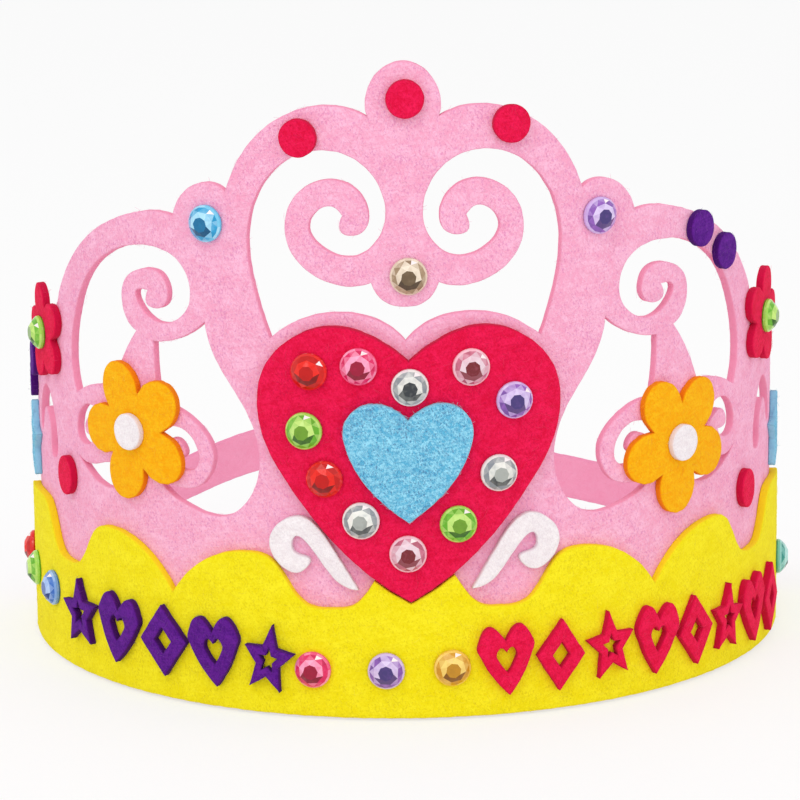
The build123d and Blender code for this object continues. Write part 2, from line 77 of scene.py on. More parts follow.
# Felt colours, as seen in plain light (0 to 255): dark fibres, light fibres, the cut edge with its
# painted shade, specks
feltColours = {
    "pink": {
        "dark": (248, 166, 198), "light": (255, 192, 220),
        "edge": (247, 156, 188), "speck": (222, 130, 184),
    },
    "yellow": {
        "dark": (244, 226, 12), "light": (254, 240, 38),
        "edge": (251, 224, 34), "speck": (218, 196, 24),
    },
    # the strap is the crown's pink felt, its colours darker as painted shade for its place inside the
    # back
    "strap": {
        "dark": (250, 164, 196), "light": (253, 176, 206),
        "edge": (240, 146, 182), "speck": (240, 150, 188),
    },
    "magenta": {
        "dark": (222, 12, 60), "light": (246, 30, 86),
        "edge": (202, 14, 64), "speck": (192, 8, 62),
    },
    "blue": {
        "dark": (92, 180, 218), "light": (156, 224, 248),
        # the blue's cut edge is lighter: a painted highlight along it
        "edge": (150, 216, 242), "speck": (74, 116, 166),
    },
    "white": {
        "dark": (240, 230, 234), "light": (254, 248, 250),
        "edge": (236, 222, 228), "speck": (218, 208, 214),
    },
    "orange": {
        "dark": (252, 168, 0), "light": (255, 194, 22),
        "edge": (240, 130, 8), "speck": (238, 144, 6),
    },
    "purple": {
        "dark": (82, 20, 128), "light": (108, 36, 154),
        "edge": (70, 16, 108), "speck": (58, 12, 98),
    },
}
# How strongly each colour's fibres stand out, how fine they are, how much of it is specked,
# and how many soft clouds there are to each 100 mm
feltGrain = {
    "pink": {"contrast": 0.4, "fineness": 1.0, "specks": 0.55, "clouds": 24},
    "yellow": {"contrast": 0.42, "fineness": 1.0, "specks": 0.45, "clouds": 24},
    "strap": {"contrast": 0.6, "fineness": 1.2, "specks": 0.0, "clouds": 24},
    "magenta": {"contrast": 0.45, "fineness": 1.1, "specks": 0.4, "clouds": 50},
    "blue": {"contrast": 0.3, "fineness": 1.2, "specks": 0.7, "clouds": 110},
    "white": {"contrast": 0.5, "fineness": 1.2, "specks": 0.3, "clouds": 50},
    "orange": {"contrast": 0.45, "fineness": 1.1, "specks": 0.35, "clouds": 50},
    "purple": {"contrast": 0.45, "fineness": 1.1, "specks": 0.4, "clouds": 50},
}
# Layers of pattern in the felt: turned by degrees, how many to each 100 mm, how long for their width
feltLayers = {
    "fibres": [(12, 190, 5.0), (74, 210, 4.5), (131, 200, 5.5), (40, 330, 1.0)],
    "cloudStretch": 1.6,
    "fineSpecks": (100, 240, 1.5),
    "speckPatches": (30, 16, 1.0),
    "patchShare": 0.3,          # how much the patches count beside the fine specks
    "speckFrom": 0.72,          # where on the noise a speck begins, and where it is full
    "speckFull": 0.84,
    "detail": 2.0,
    "distortion": 0.6,
}
feltBump = {"Strength": 0.55, "Distance": 0.16 * mm}
feltFinish = {
    "Roughness": 0.95,
    "Specular IOR Level": 0.04,
    "Sheen Weight": 0.04,
    "Sheen Roughness": 0.6,
}


def streaks(tree, coordinates, turn, scale, stretch):
    # fibres that lie one way: noise drawn out along one direction of the flat felt
    mapping = addNode(tree, "ShaderNodeMapping", vector_type="TEXTURE")
    mapping.inputs["Rotation"].default_value = (0, 0, math.radians(turn))
    mapping.inputs["Scale"].default_value = (stretch / scale, 1 / scale, 1)
    texture = addNode(tree, "ShaderNodeTexNoise", noise_dimensions="2D")
    setSockets(texture, {
        "Scale": 1.0,
        "Detail": feltLayers["detail"],
        "Distortion": feltLayers["distortion"],
    })
    link(tree, coordinates, "UV", mapping, "Vector")
    link(tree, mapping, "Vector", texture, "Vector")
    return texture


def layersAddedUp(tree, coordinates, layers):
    total = None
    for turn, scale, stretch in layers:
        layer = streaks(tree, coordinates, turn, scale, stretch)
        if total is None:
            total = layer.outputs["Fac"]
            continue
        added = addNode(tree, "ShaderNodeMath", operation="ADD")
        tree.links.new(total, added.inputs[0])
        tree.links.new(layer.outputs["Fac"], added.inputs[1])
        total = added.outputs[0]
    return total


def feltMaterial(name, colours, grain):
    material, tree, shader = newMaterial(name + "_felt_look")
    coordinates = addNode(tree, "ShaderNodeTexCoord")
    # layers of fibres and fine fleck, and soft clouds, added up
    layers = [
        (turn, scale * grain["fineness"], stretch) for turn, scale, stretch in feltLayers["fibres"]
    ]
    layers.append((0, grain["clouds"], feltLayers["cloudStretch"]))
    total = layersAddedUp(tree, coordinates, layers)
    spread = addNode(tree, "ShaderNodeMapRange")
    middle = len(layers) / 2
    spread.inputs["From Min"].default_value = middle - grain["contrast"]
    spread.inputs["From Max"].default_value = middle + grain["contrast"]
    tree.links.new(total, spread.inputs["Value"])

    fibres = addNode(tree, "ShaderNodeMix", data_type="RGBA")
    fibres.inputs["A"].default_value = linear(colours["dark"])
    fibres.inputs["B"].default_value = linear(colours["light"])
    tree.links.new(spread.outputs["Result"], fibres.inputs["Factor"])

    # specks of darker fibre, thicker in some places than in others
    turn, scale, stretch = feltLayers["fineSpecks"]
    fine = streaks(tree, coordinates, turn, scale * grain["fineness"], stretch)
    patches = streaks(tree, coordinates, *feltLayers["speckPatches"])
    amount = addNode(tree, "ShaderNodeMath", operation="MULTIPLY_ADD")
    link(tree, patches, "Fac", amount, 0)
    amount.inputs[1].default_value = feltLayers["patchShare"]
    link(tree, fine, "Fac", amount, 2)
    picked = addNode(tree, "ShaderNodeMapRange")
    setSockets(picked, {
        "From Min": feltLayers["speckFrom"],
        "From Max": feltLayers["speckFull"],
        "To Max": grain["specks"],
    })
    link(tree, amount, "Value", picked, "Value")
    specked = addNode(tree, "ShaderNodeMix", data_type="RGBA")
    specked.inputs["B"].default_value = linear(colours["speck"])
    tree.links.new(picked.outputs["Result"], specked.inputs["Factor"])
    tree.links.new(fibres.outputs["Result"], specked.inputs["A"])

    # the cut edge: partly the cut fibres' own deeper colour, partly painted shade on walls turned from
    # the light, and on the blue a painted highlight
    rim = addNode(tree, "ShaderNodeAttribute", attribute_name="rim")
    edge = addNode(tree, "ShaderNodeMix", data_type="RGBA")
    edge.inputs["B"].default_value = linear(colours["edge"])
    tree.links.new(rim.outputs["Fac"], edge.inputs["Factor"])
    tree.links.new(specked.outputs["Result"], edge.inputs["A"])
    tree.links.new(edge.outputs["Result"], shader.inputs["Base Color"])

    bump = addNode(tree, "ShaderNodeBump")
    setSockets(bump, feltBump)
    tree.links.new(spread.outputs["Result"], bump.inputs["Height"])
    link(tree, bump, "Normal", shader, "Normal")
    setSockets(shader, feltFinish)
    return material


# Felt sheets and shapes: the mesh's spacing, the cut edge's rounding and the surface relief, in mm
bigSheet = {"edgeStep": 0.8, "faceStep": 1.5, "rounding": 0.28, "wobble": 0.1, "relief": 0.07}
smallShape = {"edgeStep": 0.4, "faceStep": 0.8, "rounding": 0.3, "wobble": 0.08, "relief": 0.05}
cornerTurn = 50.0               # degrees: a sharper turn of an outline than this stays a corner
closePoints = 0.02              # mm: points of an outline nearer than this are one
faceDepth = 0.1                 # mm: corners this near the largest radius are on the outer face
textureUnit = 100.0             # mm of felt for each unit of its UV map
pointsAtOnce = 400              # keeps the tables of distances small
tiny = 1e-9                     # stands in for a length or area of nothing
joinWithin = 1e-7               # mm: points of a face nearer than this are joined
seedsInAll = 97                 # each piece's name gives it one of these

# The cut edge, from either face to the middle: how far in, as a share of the rounding,
# how far from that face in mm, and how much of the edge's colour it has
edgeSteps = [
    {"inward": 0.33, "depth": 0.07, "rim": 0.35},
    {"inward": 0.0, "depth": 0.27, "rim": 0.9},
]
edgeMiddle = {"inward": 0.12, "rim": 1.0}
edgeWave = 1.9                  # mm: how long the cut edge's unevenness is
roundingRoom = {"tries": 4, "clear": 0.75, "less": 0.55}

# The surface relief: two sizes of unevenness in mm, and how much of each
reliefWaves = {
    "soft": 9.0, "softShare": 0.7,
    "fine": 2.6, "fineShare": 0.9,
    "fineSeed": 40.0, "backSeed": 17.0,
}
# Points inside an outline, in shares of the face's spacing
faceGrid = {"row": 0.87, "firstIn": 0.25, "stagger": 0.5, "jitter": 0.18, "clear": 0.45, "seed": 5}

# node, its colour, and whether it is a big sheet
feltPieces = [
    ("crown_body", "pink", True),
    ("yellow_band", "yellow", True),
    ("back_strap", "strap", True),
    ("large_heart", "magenta", True),
    ("small_heart", "blue", False),
]
feltPieces += [("swirl_" + side, "white", False) for side in ("left", "right")]
feltPieces += [("flower_" + side, "orange", False) for side in ("left", "right")]
feltPieces += [("flower_centre_" + side, "white", False) for side in ("left", "right")]
feltPieces += [("side_flower_" + side, "magenta", False) for side in ("left", "right")]
feltPieces += [("star_" + side, "blue", False) for side in ("left", "right")]
feltPieces += [("dot_" + place, "magenta", False) for place in ("top", "left", "right")]
feltPieces += [("oval_" + side, "magenta", False) for side in ("left", "right")]
feltPieces += [
    (f"purple_dot_{side}_{k}", "purple", False) for side in ("left", "right") for k in (1, 2)
]
feltPieces += [(f"cutout_purple_{k}", "purple", False) for k in range(1, 6)]
feltPieces += [(f"cutout_magenta_{k}", "magenta", False) for k in range(1, 9)]
freeBacks = ("crown_body", "back_strap", "yellow_band")     # the backs of the others stay plain


def nodeCorners(node):
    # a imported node's corners in millimetres with its doubles merged, and its triangles
    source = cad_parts[node].data
    flatList = np.zeros(3 * len(source.vertices), np.float32)
    source.vertices.foreach_get("co", flatList)
    corners = flatList.reshape(-1, 3).astype(float) / mm
    merged, place = np.unique(np.round(corners, 3), axis=0, return_inverse=True)
    source.calc_loop_triangles()
    triangles = np.array([t.vertices[:] for t in source.loop_triangles])
    return merged, place.ravel()[triangles]


def outlineLoops(node):
    # the outlines of a node's outer face, laid flat: distance round the ring and height
    corners, triangles = nodeCorners(node)
    radius = np.hypot(corners[:, 0], corners[:, 1])
    outside, inside = radius.max(), radius.min()
    face = triangles[(radius[triangles] > outside - faceDepth).all(axis=1)]
    around = np.arctan2(corners[:, 0], -corners[:, 1])
    if node == "back_strap":
        around = np.where(around < 0, around + 2 * math.pi, around)
    edges = {(int(t[k]), int(t[(k + 1) % 3])) for t in face for k in range(3)}
    following = {a: b for a, b in edges if (b, a) not in edges}
    loops = []
    while following:
        start = min(following)
        loop = [start]
        step = following.pop(start)
        while step != start:
            loop.append(step)
            step = following.pop(step)
        loops.append(np.stack([around[loop] * outside, corners[loop, 2]], axis=1))
    return [loop for loop in loops if len(loop) > 3], outside, inside


def smoothRun(points, step):
    # evenly spaced points on a smooth curve through these, both ends kept
    lengths = np.linalg.norm(np.diff(points, axis=0), axis=1)
    along = np.concatenate([[0], np.cumsum(lengths)])
    count = max(1, int(round(along[-1] / step)))
    if len(points) < 3:
        t = np.linspace(0, 1, count + 1)[:, None]
        return points[0] * (1 - t) + points[-1] * t
    slopes = np.zeros_like(points)
    gaps = np.maximum(lengths, tiny)[:, None]
    chord = np.diff(points, axis=0) / gaps
    slopes[1:-1] = (chord[:-1] * gaps[1:] + chord[1:] * gaps[:-1]) / (gaps[:-1] + gaps[1:])
    slopes[0] = 1.5 * chord[0] - 0.5 * slopes[1]
    slopes[-1] = 1.5 * chord[-1] - 0.5 * slopes[-2]
    wanted = np.linspace(0, along[-1], count + 1)
    k = np.clip(np.searchsorted(along, wanted, side="right") - 1, 0, len(lengths) - 1)
    h = gaps[k]
    t = ((wanted - along[k]) / np.maximum(lengths[k], tiny))[:, None]
    return (
        (2 * t ** 3 - 3 * t ** 2 + 1) * points[k]
        + (t ** 3 - 2 * t ** 2 + t) * h * slopes[k]
        + (3 * t ** 2 - 2 * t ** 3) * points[k + 1]
        + (t ** 3 - t ** 2) * h * slopes[k + 1]
    )


def smoothLoop(loop, step):
    # a closed outline without corners: it overlaps its own start, so that it closes smoothly
    overlap, finer, fewest = 4, 8, 8
    wrapped = np.concatenate([loop[-overlap:], loop, loop[:overlap + 1]])
    lengths = np.linalg.norm(np.diff(wrapped, axis=0), axis=1)
    along = np.concatenate([[0], np.cumsum(lengths)])
    dense = smoothRun(wrapped, step / finer)
    first, last = along[overlap], along[overlap + len(loop)]
    wanted = np.linspace(0, along[-1], len(dense))
    keep = dense[(wanted >= first) & (wanted < last)]
    count = max(fewest, int(round((last - first) / step)))
    return keep[np.linspace(0, len(keep), count, endpoint=False).astype(int)]


def evenLoop(loop, step):
    # a closed outline with even spacing: smooth between its corners
    apart = np.linalg.norm(loop - np.roll(loop, 1, axis=0), axis=1) > closePoints
    loop = loop[apart]
    before = loop - np.roll(loop, 1, axis=0)
    after = np.roll(loop, -1, axis=0) - loop
    turn = np.arctan2(
        before[:, 0] * after[:, 1] - before[:, 1] * after[:, 0], (before * after).sum(axis=1)
    )
    corners = np.flatnonzero(np.abs(np.degrees(turn)) > cornerTurn)
    if not len(corners):
        return smoothLoop(loop, step)
    runs = []
    for k, start in enumerate(corners):
        end = corners[(k + 1) % len(corners)]
        stretch = np.arange(start, end + 1 if end > start else end + len(loop) + 1) % len(loop)
        runs.append(smoothRun(loop[stretch], step)[:-1])
    return np.concatenate(runs)


def outwardNormals(loop):
    # away from the felt at each point of an outline, longer at a corner
    before = loop - np.roll(loop, 1, axis=0)
    after = np.roll(loop, -1, axis=0) - loop
    before = before / np.maximum(np.linalg.norm(before, axis=1), tiny)[:, None]
    after = after / np.maximum(np.linalg.norm(after, axis=1), tiny)[:, None]
    total = before + after
    length = np.linalg.norm(total, axis=1)
    total = total / np.maximum(length, tiny)[:, None]
    normal = np.stack([total[:, 1], -total[:, 0]], axis=1)
    half = np.clip(length / 2, 0.5, 1)
    return normal / half[:, None]


def nextPoints(loops):
    # the point that follows each point of these outlines
    return np.concatenate([np.roll(loop, -1, axis=0) for loop in loops])


def segmentDistance(points, starts, ends):
    # the least distance from each point to any of the segments
    least = np.zeros(len(points))
    along = ends - starts
    squared = np.maximum((along ** 2).sum(axis=1), tiny)
    for first in range(0, len(points), pointsAtOnce):
        block = points[first:first + pointsAtOnce, None, :]
        t = np.clip(((block - starts) * along).sum(axis=2) / squared, 0, 1)
        nearest = starts + t[:, :, None] * along
        least[first:first + pointsAtOnce] = np.linalg.norm(block - nearest, axis=2).min(axis=1)
    return least


def insideOutline(points, starts, ends):
    # whether each point is inside, by counting the outline's crossings
    found = np.zeros(len(points), bool)
    for first in range(0, len(points), pointsAtOnce):
        block = points[first:first + pointsAtOnce]
        s, z = block[:, 0, None], block[:, 1, None]
        crosses = (starts[:, 1] > z) != (ends[:, 1] > z)
        rise = np.where(ends[:, 1] == starts[:, 1], tiny, ends[:, 1] - starts[:, 1])
        at = starts[:, 0] + (z - starts[:, 1]) / rise * (ends[:, 0] - starts[:, 0])
        found[first:first + pointsAtOnce] = ((crosses & (s < at)).sum(axis=1) % 2) == 1
    return found


def relief(points, seed, amount):
    # the slight unevenness of needled felt, in millimetres
    softSize, fineSize = reliefWaves["soft"], reliefWaves["fine"]
    fineSeed = seed + reliefWaves["fineSeed"]
    made = []
    for s, z in points:
        soft = noise.noise(Vector((s / softSize, z / softSize, seed)))
        fine = noise.noise(Vector((s / fineSize, z / fineSize, fineSeed)))
        made.append(amount * (reliefWaves["softShare"] * soft + reliefWaves["fineShare"] * fine))
    return np.array(made)


def cutOutlines(rough, settings, seed):
    # the outlines as cut, evenly spaced and slightly uneven, and the way out at each point
    loops, normals = [], []
    for loop in rough:
        even = evenLoop(loop, settings["edgeStep"])
        outward = outwardNormals(even)
        wobble = [noise.noise(Vector((s / edgeWave, z / edgeWave, seed))) for s, z in even]
        even = even + outward * (settings["wobble"] * np.array(wobble))[:, None]
        even[:, 1] = np.maximum(even[:, 1], 0.0)
        loops.append(even)
        normals.append(outward)
    return loops, np.concatenate(normals)


def roundingShare(edge, ends, normal, rounding):
    # how much of the rounding fits at each point without crossing the other side
    share = np.ones(len(edge))
    for _ in range(roundingRoom["tries"]):
        moved = edge - normal * (rounding * share)[:, None]
        tight = segmentDistance(moved, edge, ends) < roundingRoom["clear"] * rounding * share
        share[tight] *= roundingRoom["less"]
    return share


def facePoints(edge, ends, settings, seed):
    # points inside the outline, on a jittered triangular grid
    low, high = edge.min(axis=0), edge.max(axis=0)
    pitch = settings["faceStep"]
    draw = np.random.default_rng(int(seed) + faceGrid["seed"])
    grid = []
    for k, z in enumerate(np.arange(low[1] + pitch / 2, high[1], pitch * faceGrid["row"])):
        indent = faceGrid["firstIn"] + faceGrid["stagger"] * (k % 2)
        across = np.arange(low[0] + indent * pitch, high[0], pitch)
        grid.append(np.stack([across, np.full(len(across), z)], axis=1))
    grid = np.concatenate(grid)
    grid = grid + draw.uniform(-faceGrid["jitter"], faceGrid["jitter"], grid.shape) * pitch
    grid = grid[insideOutline(grid, edge, ends)]
    clear = settings["rounding"] + faceGrid["clear"] * pitch
    return grid[segmentDistance(grid, edge, ends) > clear]


def faceTriangles(outlines, inner, rim):
    # fills a flat face between its outlines: its points, its triangles and its area
    faceEdge = np.concatenate(outlines)
    points = np.concatenate([faceEdge, inner])
    flat = [Vector(p) for p in points]
    found, _, faces, origins, _, _ = delaunay_2d_cdt(flat, rim, [], 0, joinWithin)
    place = np.array([o[0] if o else -1 for o in origins])
    spare = np.flatnonzero(place < 0)
    if len(spare):
        points = np.concatenate([points, np.array([found[k][:] for k in spare])])
        place[spare] = np.arange(len(points) - len(spare), len(points))
    triangles = place[np.array(faces)]
    centres = points[triangles].mean(axis=1)
    triangles = triangles[insideOutline(centres, faceEdge, nextPoints(outlines))]
    corner = points[triangles]
    area = np.cross(corner[:, 1] - corner[:, 0], corner[:, 2] - corner[:, 0])
    triangles = triangles[np.abs(area) > tiny]
    area = area[np.abs(area) > tiny]
    triangles[area < 0] = triangles[area < 0][:, ::-1]
    return points, triangles, float(np.abs(area).sum()) / 2


def rolledPiece(name, points, faces, texture, rim, outside):
    # rolls the flat felt onto the ring and makes an object of it, without its unused points
    used = np.zeros(len(points), bool)
    for face in faces:
        used[list(face)] = True
    renumber = np.cumsum(used) - 1
    faces = [tuple(int(renumber[k]) for k in face) for face in faces]
    angle = points[:, 0] / outside
    radius = outside - points[:, 2]
    rolled = np.stack([radius * np.sin(angle), -radius * np.cos(angle), points[:, 1]], axis=1)
    mesh = bpy.data.meshes.new(name)
    mesh.from_pydata((rolled[used] * mm).tolist(), [], faces)
    corners = np.zeros(len(mesh.loops), np.int32)
    mesh.loops.foreach_get("vertex_index", corners)
    layer = mesh.uv_layers.new(name="flat")
    layer.data.foreach_set("uv", (texture[used][corners] / textureUnit).astype(np.float32).ravel())
    attribute = mesh.attributes.new("rim", "FLOAT", "POINT")
    attribute.data.foreach_set("value", rim[used].astype(np.float32))
    mesh.shade_smooth()
    mesh.update()
    made = bpy.data.objects.new(name, mesh)
    scene.collection.objects.link(made)
    return made


def edgeProfile(thick):
    # steps round the cut edge, from the front face to the back one: inward, depth and rim
    front = [(step["inward"], step["depth"], step["rim"]) for step in edgeSteps]
    back = [(inward, thick - depth, rim) for inward, depth, rim in reversed(front)]
    return [*front, (edgeMiddle["inward"], 0.5 * thick, edgeMiddle["rim"]), *back]


def meshFelt(node, settings):
    # a felt shape with a rounded, slightly uneven cut edge, made flat and rolled onto the ring
    rough, outside, inside = outlineLoops(node)
    thick = outside - inside
    rounding = settings["rounding"]
    seed = float(sum(ord(letter) for letter in node) % seedsInAll)
    loops, normal = cutOutlines(rough, settings, seed)
    edge, ends = np.concatenate(loops), nextPoints(loops)
    share = roundingShare(edge, ends, normal, rounding)
    inner = facePoints(edge, ends, settings, seed)
    loopEnds = np.cumsum([len(loop) for loop in loops])
    outlines = np.split(edge - normal * (rounding * share)[:, None], loopEnds[:-1])
    rimEdges = []
    for first, last in zip([0, *loopEnds[:-1].tolist()], loopEnds.tolist()):
        rimEdges += [(k, k + 1 if k + 1 < last else first) for k in range(first, last)]
    flat, triangles, area = faceTriangles(outlines, inner, rimEdges)

    # front face, rings round the cut edge, back face
    count, total = len(edge), len(flat)
    profile = edgeProfile(thick)
    frontRelief = relief(flat, seed, settings["relief"])
    backAmount = settings["relief"] if node in freeBacks else 0.0
    backRelief = relief(flat, seed + reliefWaves["backSeed"], backAmount)
    parts = [np.concatenate([flat, -frontRelief[:, None]], axis=1)]
    for inward, depth, _ in profile:
        at = edge - normal * (rounding * inward * share)[:, None]
        parts.append(np.concatenate([at, np.full((count, 1), depth)], axis=1))
    parts.append(np.concatenate([flat, thick + backRelief[:, None]], axis=1))
    points = np.concatenate(parts)
    backStart = total + len(profile) * count
    ringStarts = [0] + [total + k * count for k in range(len(profile))] + [backStart]
    faces = [tuple(t) for t in triangles.tolist()]
    faces += [tuple(t) for t in (triangles[:, ::-1] + backStart).tolist()]
    for upper, lower in zip(ringStarts[:-1], ringStarts[1:]):
        faces += [(upper + b, upper + a, lower + a, lower + b) for a, b in rimEdges]

    # texture places: the flat felt, running on round the cut edge
    texture = points[:, :2].copy()
    rim = np.zeros(len(points))
    for start, (_, depth, value) in zip(ringStarts[1:], profile):
        texture[start:start + count] = edge + normal * depth
        rim[start:start + count] = value
    made = rolledPiece(node + "_felt", points, faces, texture, rim, outside)
    cut = {
        "size": tuple((edge.max(axis=0) - edge.min(axis=0)) * mm),
        "area": area * mm ** 2,
        "outline": float(np.linalg.norm(ends - edge, axis=1).sum()) * mm,
    }
    return made, cut


# Loose fibres on the felt: how many for each square centimetre, length and thickness in mm
fibreSettings = {
    "pink": {"density": 13.0, "length": 2.4, "thick": 0.045},
    "yellow": {"density": 12.0, "length": 2.2, "thick": 0.045},
    "strap": {"density": 5.0, "length": 1.8, "thick": 0.04},
    "magenta": {"density": 18.0, "length": 2.0, "thick": 0.045},
    "blue": {"density": 70.0, "length": 1.9, "thick": 0.05},
    "white": {"density": 16.0, "length": 1.7, "thick": 0.04},
    "orange": {"density": 18.0, "length": 1.8, "thick": 0.045},
    "purple": {"density": 20.0, "length": 1.7, "thick": 0.045},
}
fibreShape = {
    "sides": 3,
    "steps": 3,
    "bends": [(0.3, 0.05), (-0.22, 0.1), (0.12, 0.16), (-0.4, 0.03)],      # sideways and lift
    "shortest": 0.45,           # shares of the set length
    "longest": 1.25,
    "tilt": 0.07,               # radians out of the felt's face
    "floor": 0.05,              # mm: no fibre lies lower than this
    "seed": 3,
}
fibreLight = 0.3                # how far the palest loose fibres are towards white
fibreClouds = 320.0             # changes of colour along the fibres, to each metre
fibreFinish = {"Roughness": 0.8, "Specular IOR Level": 0.08}


def fibreMaterial(name, colours):
    material, tree, shader = newMaterial(name + "_fibre_look")
    coordinates = addNode(tree, "ShaderNodeTexCoord")
    texture = addNode(tree, "ShaderNodeTexNoise")
    texture.inputs["Scale"].default_value = fibreClouds
    colour = addNode(tree, "ShaderNodeMix", data_type="RGBA")
    colour.inputs["A"].default_value = linear(colours["dark"])
    pale = [value + fibreLight * (255 - value) for value in colours["light"]]
    colour.inputs["B"].default_value = linear(pale)
    link(tree, coordinates, "Object", texture, "Vector")
    link(tree, texture, "Fac", colour, "Factor")
    link(tree, colour, "Result", shader, "Base Color")
    setSockets(shader, fibreFinish)
    return material


def groupInput(tree, name, kind, value=None):
    socket = tree.interface.new_socket(name=name, in_out="INPUT", socket_type=kind)
    if value is not None:
        socket.default_value = value


def bentFibre(tree, start, section, sideways, lift):
    # one fibre of the set length and thickness with one bend, as an instance
    bend = addNode(tree, "GeometryNodeCurveQuadraticBezier")
    bend.inputs["Resolution"].default_value = fibreShape["steps"]
    for name, place in (("Start", (-0.5, 0, 0)), ("Middle", (0, sideways, lift)), ("End", (0.5, 0, 0))):
        scaled = addNode(tree, "ShaderNodeVectorMath", operation="SCALE")
        scaled.inputs[0].default_value = place
        tree.links.new(start.outputs["Length"], scaled.inputs["Scale"])
        tree.links.new(scaled.outputs["Vector"], bend.inputs[name])
    solid = addNode(tree, "GeometryNodeCurveToMesh")
    solid.inputs["Fill Caps"].default_value = True
    link(tree, bend, "Curve", solid, "Curve")
    link(tree, section, "Curve", solid, "Profile Curve")
    single = addNode(tree, "GeometryNodeGeometryToInstance")
    link(tree, solid, "Mesh", single, "Geometry")
    return single


def fibreTree():
    # scatters short bent fibres over a surface, each lying nearly flat on it
    tree = bpy.data.node_groups.new("loose_fibres", "GeometryNodeTree")
    tree.interface.new_socket(name="Geometry", in_out="OUTPUT", socket_type="NodeSocketGeometry")
    groupInput(tree, "Geometry", "NodeSocketGeometry")
    groupInput(tree, "Density", "NodeSocketFloat", 1e5)
    groupInput(tree, "Length", "NodeSocketFloat", 0.003)
    groupInput(tree, "Thickness", "NodeSocketFloat", 0.00005)
    groupInput(tree, "Tilt", "NodeSocketFloat", 0.12)
    groupInput(tree, "Seed", "NodeSocketInt", 1)
    groupInput(tree, "Material", "NodeSocketMaterial")
    start = addNode(tree, "NodeGroupInput")
    end = addNode(tree, "NodeGroupOutput")

    scatter = addNode(tree, "GeometryNodeDistributePointsOnFaces")
    link(tree, start, "Geometry", scatter, "Mesh")
    link(tree, start, "Density", scatter, "Density")
    link(tree, start, "Seed", scatter, "Seed")

    # differently bent fibres, picked at random
    section = addNode(tree, "GeometryNodeCurvePrimitiveCircle")
    section.inputs["Resolution"].default_value = fibreShape["sides"]
    link(tree, start, "Thickness", section, "Radius")
    variants = addNode(tree, "GeometryNodeJoinGeometry")
    for sideways, lift in fibreShape["bends"]:
        single = bentFibre(tree, start, section, sideways, lift)
        link(tree, single, "Instances", variants, "Geometry")

    # each is turned any way round and tilted a little
    around = addNode(tree, "FunctionNodeRandomValue", data_type="FLOAT_VECTOR")
    lowest = addNode(tree, "ShaderNodeCombineXYZ")
    highest = addNode(tree, "ShaderNodeCombineXYZ")
    down = addNode(tree, "ShaderNodeMath", operation="MULTIPLY")
    down.inputs[1].default_value = -1.0
    link(tree, start, "Tilt", down, 0)
    for name in ("X", "Y"):
        link(tree, down, "Value", lowest, name)
        link(tree, start, "Tilt", highest, name)
    highest.inputs["Z"].default_value = 2 * math.pi
    link(tree, lowest, "Vector", around, "Min")
    link(tree, highest, "Vector", around, "Max")
    link(tree, start, "Seed", around, "Seed")
    turned = addNode(tree, "FunctionNodeRotateRotation", rotation_space="LOCAL")
    link(tree, scatter, "Rotation", turned, "Rotation")
    tree.links.new(around.outputs["Value"], turned.inputs["Rotate By"])

    # sockets 2 and 3 are the least and the most of a plain random number, and output 1 is the number
    size = addNode(tree, "FunctionNodeRandomValue", data_type="FLOAT")
    size.inputs[2].default_value = fibreShape["shortest"]
    size.inputs[3].default_value = fibreShape["longest"]
    link(tree, start, "Seed", size, "Seed")
    placed = addNode(tree, "GeometryNodeInstanceOnPoints")
    placed.inputs["Pick Instance"].default_value = True
    link(tree, scatter, "Points", placed, "Points")
    link(tree, variants, "Geometry", placed, "Instance")
    link(tree, turned, "Rotation", placed, "Rotation")
    tree.links.new(size.outputs[1], placed.inputs["Scale"])
    real = addNode(tree, "GeometryNodeRealizeInstances")
    painted = addNode(tree, "GeometryNodeSetMaterial")
    link(tree, placed, "Instances", real, "Geometry")
    link(tree, real, "Geometry", painted, "Geometry")
    link(tree, start, "Material", painted, "Material")
    link(tree, painted, "Geometry", end, "Geometry")
    return tree


def setInputs(modifier, values):
    for item in modifier.node_group.interface.items_tree:
        if item.item_type == "SOCKET" and item.in_out == "INPUT" and item.name in values:
            modifier[item.identifier] = values[item.name]


def growFibres(colour, pieces, tree, look):
    # one mesh of loose fibres for all the felt of a colour
    settings = fibreSettings[colour]
    points, faces = [], []
    for piece in pieces:
        first = len(points)
        points += [v.co[:] for v in piece.data.vertices]
        faces += [tuple(first + k for k in p.vertices) for p in piece.data.polygons]
    mesh = bpy.data.meshes.new(colour + "_fibres")
    mesh.from_pydata(points, [], faces)
    made = bpy.data.objects.new(colour + "_fibres", mesh)
    scene.collection.objects.link(made)
    modifier = made.modifiers.new("fibres", "NODES")
    modifier.node_group = tree
    setInputs(modifier, {
        "Density": settings["density"] * 1e4,       # to each square metre
        "Length": settings["length"] * mm,
        "Thickness": settings["thick"] * mm / 2,
        "Tilt": fibreShape["tilt"],
        "Seed": fibreShape["seed"] + len(colour),
        "Material": look,
    })
    bpy.context.view_layer.update()
    evaluated = made.evaluated_get(bpy.context.evaluated_depsgraph_get())
    grown = bpy.data.meshes.new_from_object(evaluated)
    made.modifiers.clear()
    places = np.zeros(3 * len(grown.vertices), np.float32)
    grown.vertices.foreach_get("co", places)
    places[2::3] = np.maximum(places[2::3], fibreShape["floor"] * mm)
    grown.vertices.foreach_set("co", places)
    made.data = grown
    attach(made, "root")
    return made
